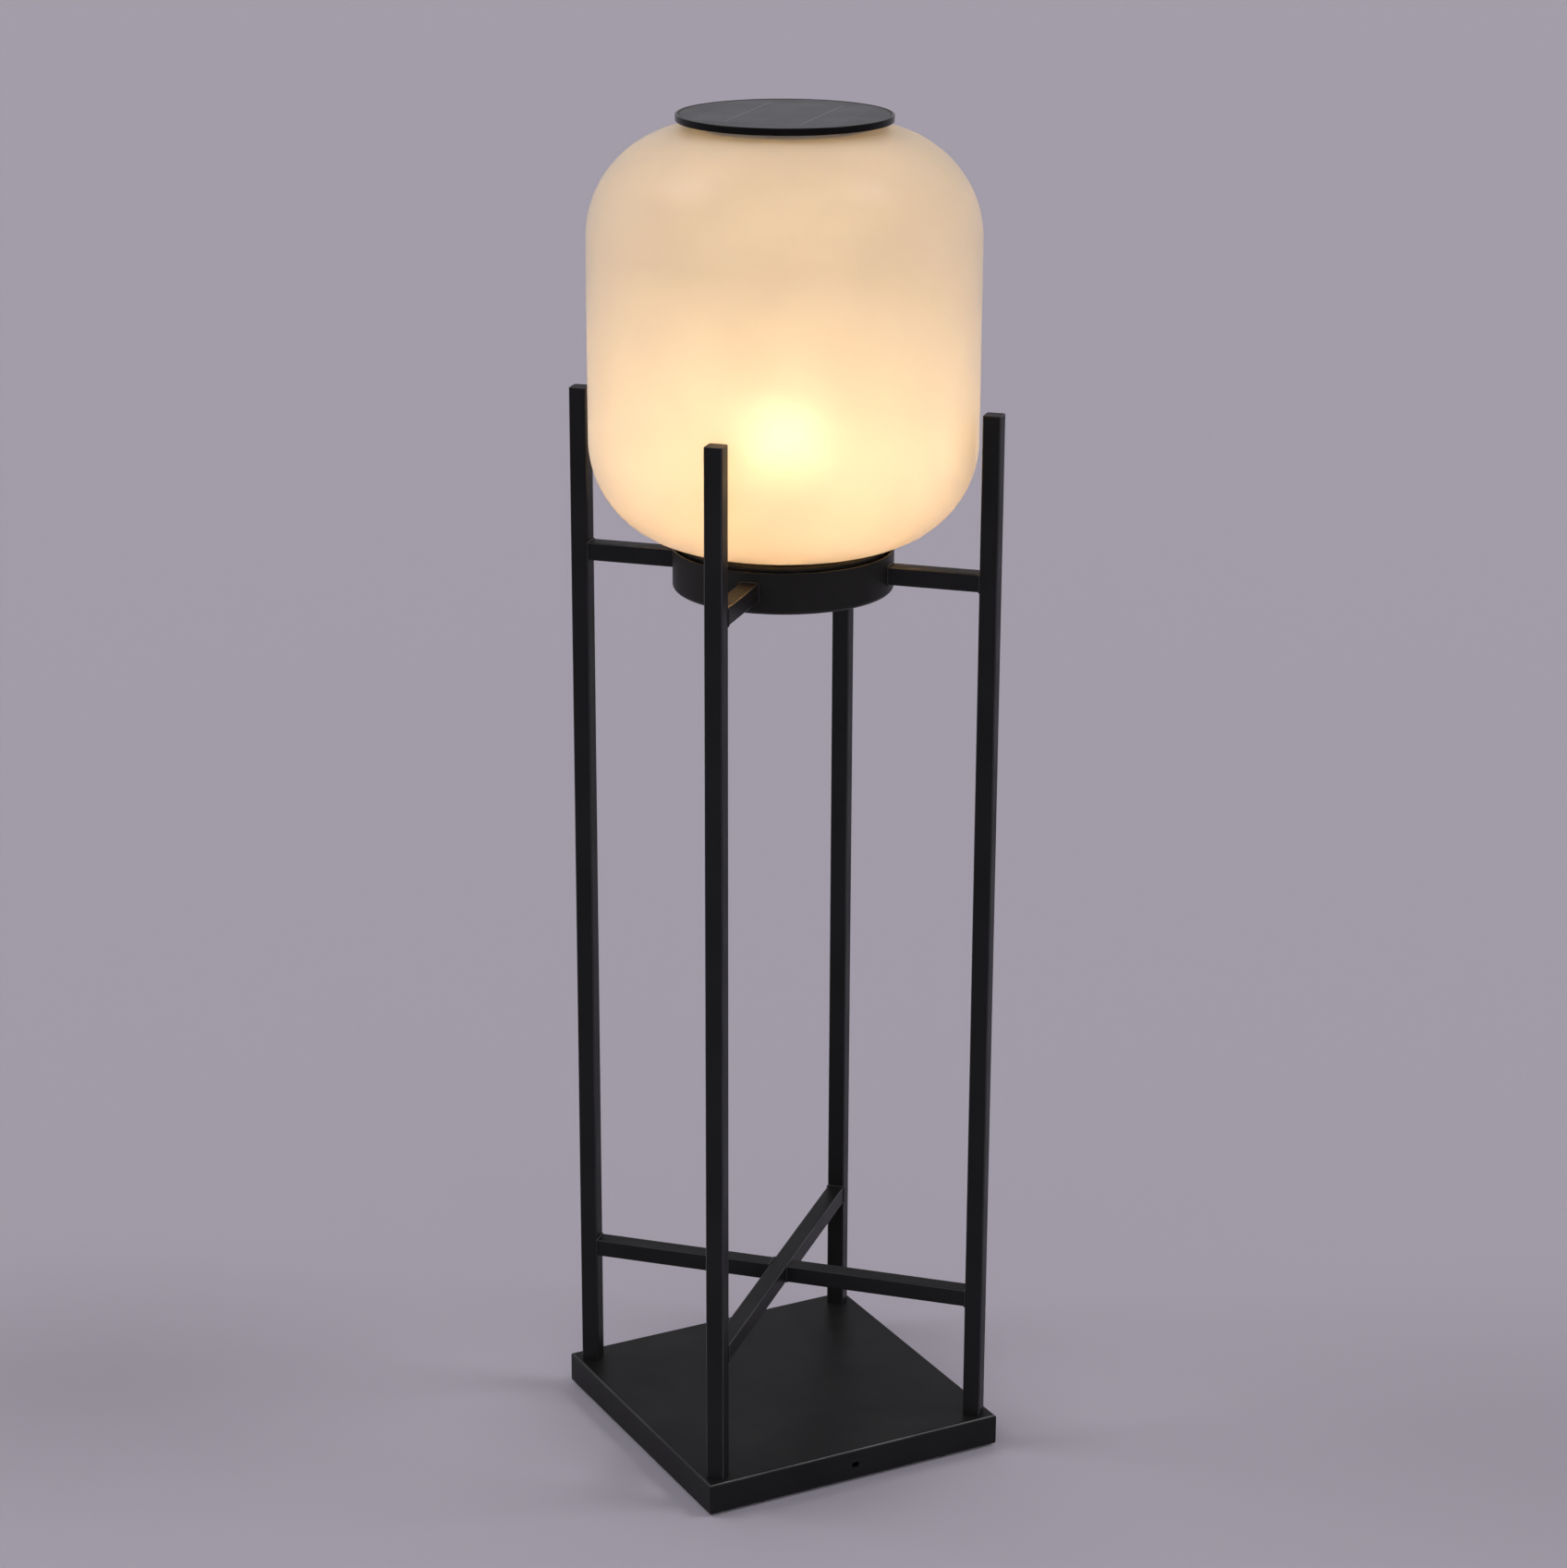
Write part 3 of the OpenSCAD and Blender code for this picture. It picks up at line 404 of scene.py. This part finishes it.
def plain_metal(name, dark, light, roughness, size=0.0008):
    """Bare or plated metal: fine machining, a slow change of tone, light scratches."""
    material, tree, surface, position = new_finish(name, roughness, 1.0)
    grain = effect(tree, GRAIN, position, Size=size, Drift_Size=0.012)
    scuff = masked(tree, 0.5, SCUFFS, position, Spacing=0.004)
    tone = blend(tree, grain["Drift"], srgb(dark), srgb(light))
    connect(tree, surface,
            Base_Color=blend(tree, scuff, tone, METAL_SCRATCH),
            Roughness=ramp(tree, grain["Drift"], 0, 1, roughness - 0.06, roughness + 0.08),
            Normal=bump(tree, grain["Height"], FINE_BUMP))
    return material


def plain_plastic(name, dark, light, roughness, depth=0.04 * MM, **constants):
    """Moulded plastic or rubber: mould texture, a slow change of tone, a trace of dust."""
    material, tree, surface, position = new_finish(name, roughness, **constants)
    grain = effect(tree, GRAIN, position, Size=0.0006, Drift_Size=0.02)
    dust = masked(tree, 0.06, DUST, position, Patch_Size=0.02)
    tone = blend(tree, grain["Drift"], srgb(dark), srgb(light))
    connect(tree, surface,
            Base_Color=blend(tree, dust, tone, DUST_COLOUR),
            Roughness=ramp(tree, grain["Drift"], 0, 1, roughness - 0.05, roughness + 0.05),
            Normal=bump(tree, grain["Height"], depth))
    return material


def frosted_shade():
    """Milky frosted shade, through which the lamp shows as a soft warm patch."""
    material, tree, surface, position = new_finish(
        "frosted_shade", FROST_ROUGHNESS, IOR=1.45, Transmission_Weight=FROST_CLEAR,
        Specular_IOR_Level=FROST_GLOSS, Subsurface_Weight=1.0, Subsurface_Radius=(1.0, 1.0, 1.0),
        Subsurface_Scale=FROST_SPREAD)
    grain = effect(tree, GRAIN, position, Size=0.0009, Drift_Size=0.06)
    connect(tree, surface,
            Base_Color=blend(tree, grain["Drift"], FROST_DARK, FROST_LIGHT),
            Roughness=ramp(tree, grain["Drift"], 0, 1, FROST_ROUGHNESS - FROST_DRIFT,
                           FROST_ROUGHNESS + FROST_DRIFT),
            Normal=bump(tree, grain["Height"], FINE_BUMP))
    return material


def glowing_dome():
    """Lit dome of the bulb; light from inside it passes out."""
    material, tree, surface, position = new_finish(
        "opal_dome", 0.5, Emission_Color=GLOW_COLOUR, Emission_Strength=GLOW_STRENGTH)
    grain = effect(tree, GRAIN, position, Size=0.0009, Drift_Size=0.01)
    connect(tree, surface,
            Base_Color=blend(tree, grain["Drift"], srgb("#fff2cf"), srgb("#fff7e2")),
            Normal=bump(tree, grain["Height"], FINE_BUMP))
    clear = put(tree, "BsdfTransparent")
    mix = put(tree, "MixShader", {0: put(tree, "LightPath").outputs["Is Shadow Ray"],
                                  1: surface.outputs[0], 2: clear.outputs[0]})
    tree.links.new(mix.outputs[0], tree.nodes["Material Output"].inputs["Surface"])
    return material


def circuit_board():
    """Board with copper tracks under its green mask; what stands on it is black."""
    material, tree, surface, position = new_finish("circuit_board", 0.35)
    grain = effect(tree, GRAIN, position, Size=0.0004, Drift_Size=0.006)
    tracks = put(tree, "TexBrick", {"Vector": position, "Scale": BOARD_TRACKS, "Mortar Size": TRACK_WIDTH})
    green = blend(tree, tracks.outputs["Fac"], srgb("#10492b"), srgb("#2b7a4a"))
    parts_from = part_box("controller_board")[1].z - BOARD_PARTS
    parts = ramp(tree, height_of(tree, position), parts_from, parts_from + BOARD_PARTS_EDGE)
    connect(tree, surface,
            Base_Color=blend(tree, parts, green, srgb("#1b1b1d")),
            Roughness=ramp(tree, grain["Drift"], 0, 1, 0.30, 0.42),
            Normal=bump(tree, grain["Height"], FINE_BUMP))
    return material


# ---------------------------------------------------------------- modelling helpers

WELD = 0.005 * MM
SHEET_ANGLE = 35        # degrees, above which an edge stays sharp
BEAD_ANGLE = 60


def alone(obj):
    """Selects one object, and nothing else."""
    bpy.ops.object.select_all(action="DESELECT")
    obj.select_set(True)
    bpy.context.view_layer.objects.active = obj


def edit(obj, mode="FACE"):
    """Readies one object for picking faces, edges or vertices, with none of them selected."""
    alone(obj)
    bpy.ops.object.mode_set(mode="EDIT")
    bpy.ops.mesh.select_mode(type=mode)
    bpy.ops.mesh.select_all(action="DESELECT")
    bpy.ops.object.mode_set(mode="OBJECT")


def pick(obj, test, part="polygons"):
    """Selects the faces, edges or vertices that pass a test, and leaves the object in edit mode."""
    for item in getattr(obj.data, part):
        item.select = bool(test(item))
    bpy.ops.object.mode_set(mode="EDIT")


def done(obj, name, material, body, angle=SHEET_ANGLE):
    """Names, closes, places and finishes a modelled piece, and lets it ride on a body."""
    if obj.mode != "OBJECT":
        bpy.ops.object.mode_set(mode="OBJECT")
    alone(obj)
    obj.name = name
    bpy.ops.object.transform_apply(location=True, rotation=True, scale=True)
    bpy.ops.object.mode_set(mode="EDIT")
    bpy.ops.mesh.select_all(action="SELECT")
    bpy.ops.mesh.remove_doubles(threshold=WELD)
    bpy.ops.mesh.normals_make_consistent(inside=False)
    bpy.ops.object.mode_set(mode="OBJECT")
    bpy.ops.object.shade_smooth_by_angle(angle=math.radians(angle))
    obj.data.materials.clear()
    obj.data.materials.append(material)
    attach(obj, body)


def middle_of(node):
    """Middle of a CAD node's box."""
    low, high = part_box(node)
    return (low + high) / 2


def half_width(node):
    """Half of a CAD node's width along X."""
    low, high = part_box(node)
    return (high.x - low.x) / 2


# ---------------------------------------------------------------- reflector tray

REFLECTOR_RADIUS = 60 * MM
REFLECTOR_SIDES = 96
REFLECTOR_SHEET = 0.4 * MM
REFLECTOR_GAP = 0.4 * MM
REFLECTOR_RIM = 5 * MM
REFLECTOR_RIM_RISE = 0.6 * MM
REFLECTOR_COLLAR = 6 * MM
REFLECTOR_COLLAR_RISE = 1.5 * MM
HOLDER_GAP = 1.2 * MM


def make_reflector(paint):
    """White pressed tray round the lampholder, which throws the bulb's light up into the shade."""
    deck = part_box("lampholder")[0].z
    hole = half_width("lampholder") + HOLDER_GAP
    bpy.ops.object.select_all(action="DESELECT")
    bpy.ops.mesh.primitive_circle_add(vertices=REFLECTOR_SIDES, radius=REFLECTOR_RADIUS, fill_type="NGON",
                                      location=(0, 0, deck + REFLECTOR_GAP))
    plate = bpy.context.object
    edit(plate)
    pick(plate, lambda face: True)
    bpy.ops.mesh.inset(thickness=REFLECTOR_RIM, use_even_offset=True)
    bpy.ops.transform.translate(value=(0, 0, REFLECTOR_RIM_RISE))
    bpy.ops.mesh.inset(thickness=REFLECTOR_RADIUS - REFLECTOR_RIM - hole - REFLECTOR_COLLAR)
    bpy.ops.mesh.inset(thickness=REFLECTOR_COLLAR)
    bpy.ops.transform.translate(value=(0, 0, REFLECTOR_COLLAR_RISE))
    bpy.ops.mesh.delete(type="FACE")
    bpy.ops.object.mode_set(mode="OBJECT")
    wall = plate.modifiers.new("wall", "SOLIDIFY")
    wall.thickness = REFLECTOR_SHEET
    wall.offset = 1
    bpy.ops.object.modifier_apply(modifier="wall")
    done(plate, "reflector", paint, "stand")


# ---------------------------------------------------------------- weld beads

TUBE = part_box("brace_through")[1].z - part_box("brace_through")[0].z
TUBE_ROUND = 1.6 * MM
TUBE_ROUND_CUTS = 4
BEAD_RADIUS = 1.0 * MM
BEAD_SIDES = 6
BEAD_CUTS = 15          # rings along each flat side of the tube, of which every second is raised
BEAD_RIPPLE = 0.10 * MM
POSTS = {"front": 225, "right": 315, "back": 45, "left": 135}


def square_bead():
    """Weld bead round the end of a square tube that points along +X, with its ripple, ready to be copied."""
    bpy.ops.object.select_all(action="DESELECT")
    bpy.ops.mesh.primitive_plane_add(size=TUBE, location=(0, 0, 0))
    bead = bpy.context.object
    edit(bead, "VERT")
    pick(bead, lambda corner: True, "vertices")
    bpy.ops.mesh.bevel(offset=TUBE_ROUND, segments=TUBE_ROUND_CUTS, affect="VERTICES")
    bpy.ops.mesh.delete(type="ONLY_FACE")
    bpy.ops.object.mode_set(mode="OBJECT")
    corners = bead.data.vertices
    flat_sides = [edge.index for edge in bead.data.edges
                  if (corners[edge.vertices[0]].co - corners[edge.vertices[1]].co).length > TUBE / 2]
    edit(bead, "EDGE")
    pick(bead, lambda edge: edge.index in flat_sides, "edges")
    bpy.ops.mesh.subdivide(number_cuts=BEAD_CUTS)
    bpy.ops.object.mode_set(mode="OBJECT")
    bpy.ops.object.convert(target="CURVE")
    bead = bpy.context.object
    bead.data.bevel_depth = BEAD_RADIUS
    bead.data.bevel_resolution = (BEAD_SIDES - 4) // 2
    bpy.ops.object.convert(target="MESH")
    bead = bpy.context.object
    edit(bead, "VERT")
    pick(bead, lambda corner: corner.index // BEAD_SIDES % 2 == 0, "vertices")
    bpy.ops.transform.shrink_fatten(value=BEAD_RIPPLE)
    bpy.ops.object.mode_set(mode="OBJECT")
    bead.rotation_euler = (0, math.radians(90), 0)
    bpy.ops.object.transform_apply(location=True, rotation=True, scale=True)
    return bead


def make_beads(paint):
    """Painted weld beads where the brace and the arms meet the posts, each other and the cup."""
    arm_z = middle_of("arm_right").z
    brace_z = middle_of("brace_through").z
    post_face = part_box("brace_through")[1].xy.length - TUBE / 2
    places = {"cross_right": (POSTS["right"], TUBE / 2, brace_z),
              "cross_left": (POSTS["left"], TUBE / 2, brace_z)}
    for side, angle in POSTS.items():
        places["brace_" + side] = (angle, post_face, brace_z)
        places["arm_" + side] = (angle, post_face, arm_z)
        places["cup_" + side] = (angle, half_width("cup"), arm_z)
    first = square_bead()
    for name, (angle, reach, height) in places.items():
        bead = first.copy()
        bead.data = first.data.copy()
        bpy.context.scene.collection.objects.link(bead)
        turn = math.radians(angle)
        bead.rotation_euler = (0, 0, turn)
        bead.location = (reach * math.cos(turn), reach * math.sin(turn), height)
        done(bead, "bead_" + name, paint, "stand", BEAD_ANGLE)
    bpy.data.objects.remove(first)


# ---------------------------------------------------------------- panel sealant

# Section of the bead, in millimetres out from the panel's edge and up from its face.
SEAL_PROFILE = ((-0.5, 0.02), (-0.1, 0.20), (0.25, 0.22), (0.5, 0.0), (0.2, -0.5), (-0.3, -0.15))
SEAL_SIDES = 160


def make_panel_seal(rubber):
    """Black sealant run into the gap between the solar panel and the lid's rim."""
    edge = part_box("solar_panel")[1]
    out, up = SEAL_PROFILE[0]
    reach = edge.x + out * MM
    bpy.ops.object.select_all(action="DESELECT")
    bpy.ops.mesh.primitive_circle_add(vertices=SEAL_SIDES, radius=reach, fill_type="NOTHING",
                                      location=(0, 0, edge.z + up * MM))
    seal = bpy.context.object
    edit(seal, "EDGE")
    pick(seal, lambda line: True, "edges")
    for next_out, next_up in SEAL_PROFILE[1:] + SEAL_PROFILE[:1]:
        grow = (reach + (next_out - out) * MM) / reach
        bpy.ops.mesh.extrude_edges_indiv()
        bpy.ops.transform.resize(value=(grow, grow, 1), center_override=(0, 0, 0))
        bpy.ops.transform.translate(value=(0, 0, (next_up - up) * MM))
        reach, out, up = reach * grow, next_out, next_up
    done(seal, "panel_sealant", rubber, "lid", BEAD_ANGLE)


# ---------------------------------------------------------------- light of the bulb

BULB_POWER = 3.4
BULB_COLOUR = (1.0, 0.65, 0.31)
BULB_SHARE = 0.7        # of the dome's radius
BULB_RISE = 20 * MM
SPILL_POWER = 1.80
SPILL_COLOUR = (1.0, 0.51, 0.125)
SPILL_DIAMETER = 120 * MM
SPILL_RISE = -8 * MM


def add_bulb_light(name, kind, power, colour, height):
    """Light in the shade that rides with the bulb and isn't itself seen; returns its data."""
    data = bpy.data.lights.new(name, kind)
    data.energy = power
    data.color = colour
    light = bpy.data.objects.new(name, data)
    bpy.context.scene.collection.objects.link(light)
    light.location = (0, 0, height)
    light.visible_camera = False
    light.visible_transmission = False
    light.visible_glossy = False
    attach(light, "bulb")
    return data


def make_bulb_lights():
    """The light that the bulb gives the shade: all round from its dome, and down on the shade's foot."""
    radius = half_width("bulb_dome")
    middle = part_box("bulb_dome")[1].z - radius
    round_light = add_bulb_light("bulb_light", "POINT", BULB_POWER, BULB_COLOUR, middle + BULB_RISE)
    round_light.shadow_soft_size = BULB_SHARE * radius
    spill = add_bulb_light("bulb_spill", "AREA", SPILL_POWER, SPILL_COLOUR, middle + SPILL_RISE)
    spill.shape = "DISK"
    spill.size = SPILL_DIAMETER


# ---------------------------------------------------------------- the lamp

def dress(material, *names):
    """Gives CAD nodes a finish in their own material slots."""
    for name in names:
        data = NODES[name].data
        for index in range(len(data.materials)):
            data.materials[index] = material


def dress_all():
    """Every finish on its nodes, and the modelled pieces that share a finish with them."""
    dress(powder_coat("powder_coat_pan", 0, 0), "base_pan")
    tube_coat = powder_coat("powder_coat_tube", 45, 0)
    make_beads(tube_coat)
    dress(tube_coat, "post_front", "post_right", "post_back", "post_left", "post_caps",
          "brace_through", "brace_left", "brace_right", "arm_front", "arm_right", "arm_back", "arm_left")
    # The cup wears the frame's same black coat, painted a little lighter: painted light for the brightness
    # that falls on the cup
    dress(powder_coat("powder_coat_cup_painted_lighter", 0, 1, "#1f1e1e", "#242322"), "cup")
    dress(gloss_lacquer(), "lid_dish")
    dress(solar_face(), "solar_panel")
    dress(plain_metal("silver_ribbon", "#8e9096", "#a9abb0", 0.38), "bus_lines")
    dress(plain_metal("zinc_steel", "#9b9ea3", "#b4b6ba", 0.32), "ballast_nuts", "base_bolts",
          "base_washers", "case_screws", "switch_nut", "nipple_nut", "holder_nipple")
    dress(plain_metal("raw_steel", "#4a4b4e", "#66686b", 0.45, 0.002), "ballast_plate", "post_plugs")
    dress(plain_metal("nickel_cap", "#b9b8b2", "#d3d2cc", 0.22), "bulb_cap")
    dress(plain_metal("brass", "#a87f35", "#cda257", 0.28), "holder_contacts")
    dress(plain_plastic("black_plastic", "#111112", "#181819", 0.48, Specular_IOR_Level=0.2),
          "gear_case", "battery_tray", "switch_body", "lampholder", "junction_box")
    rubber = plain_plastic("black_rubber", "#111111", "#191919", 0.72, Specular_IOR_Level=0.1)
    dress(rubber, "rubber_pads", "seat_gasket")
    make_panel_seal(rubber)
    dress(plain_plastic("button_plastic", "#3f3f41", "#4a4a4c", 0.45), "button")
    dress(plain_plastic("battery_wrap", "#2f62a0", "#3c72b2", 0.28, FAINT_BUMP), "battery_cells")
    dress(plain_plastic("white_wire", "#d9d9d6", "#e6e5e1", 0.4), "lamp_leads", "panel_lead")
    white = plain_plastic("white_plastic", "#eceae5", "#f5f3ef", 0.4)
    dress(white, "bulb_collar", "lead_plugs", "lead_clips")
    make_reflector(white)
    dress(plain_plastic("led_white", "#eeeade", "#f7f4ea", 0.5), "led_board")
    dress(plain_plastic("clear_silicone", "#c9c7c0", "#dddbd5", 0.45), "lid_seal")
    dress(circuit_board(), "controller_board")
    dress(frosted_shade(), "shade")
    dress(glowing_dome(), "bulb_dome")


make_camera()
make_world()
make_floor()
make_sun("left_lamp", **LEFT_LAMP)
make_sun("right_lamp", **RIGHT_LAMP)
dress_all()
make_bulb_lights()
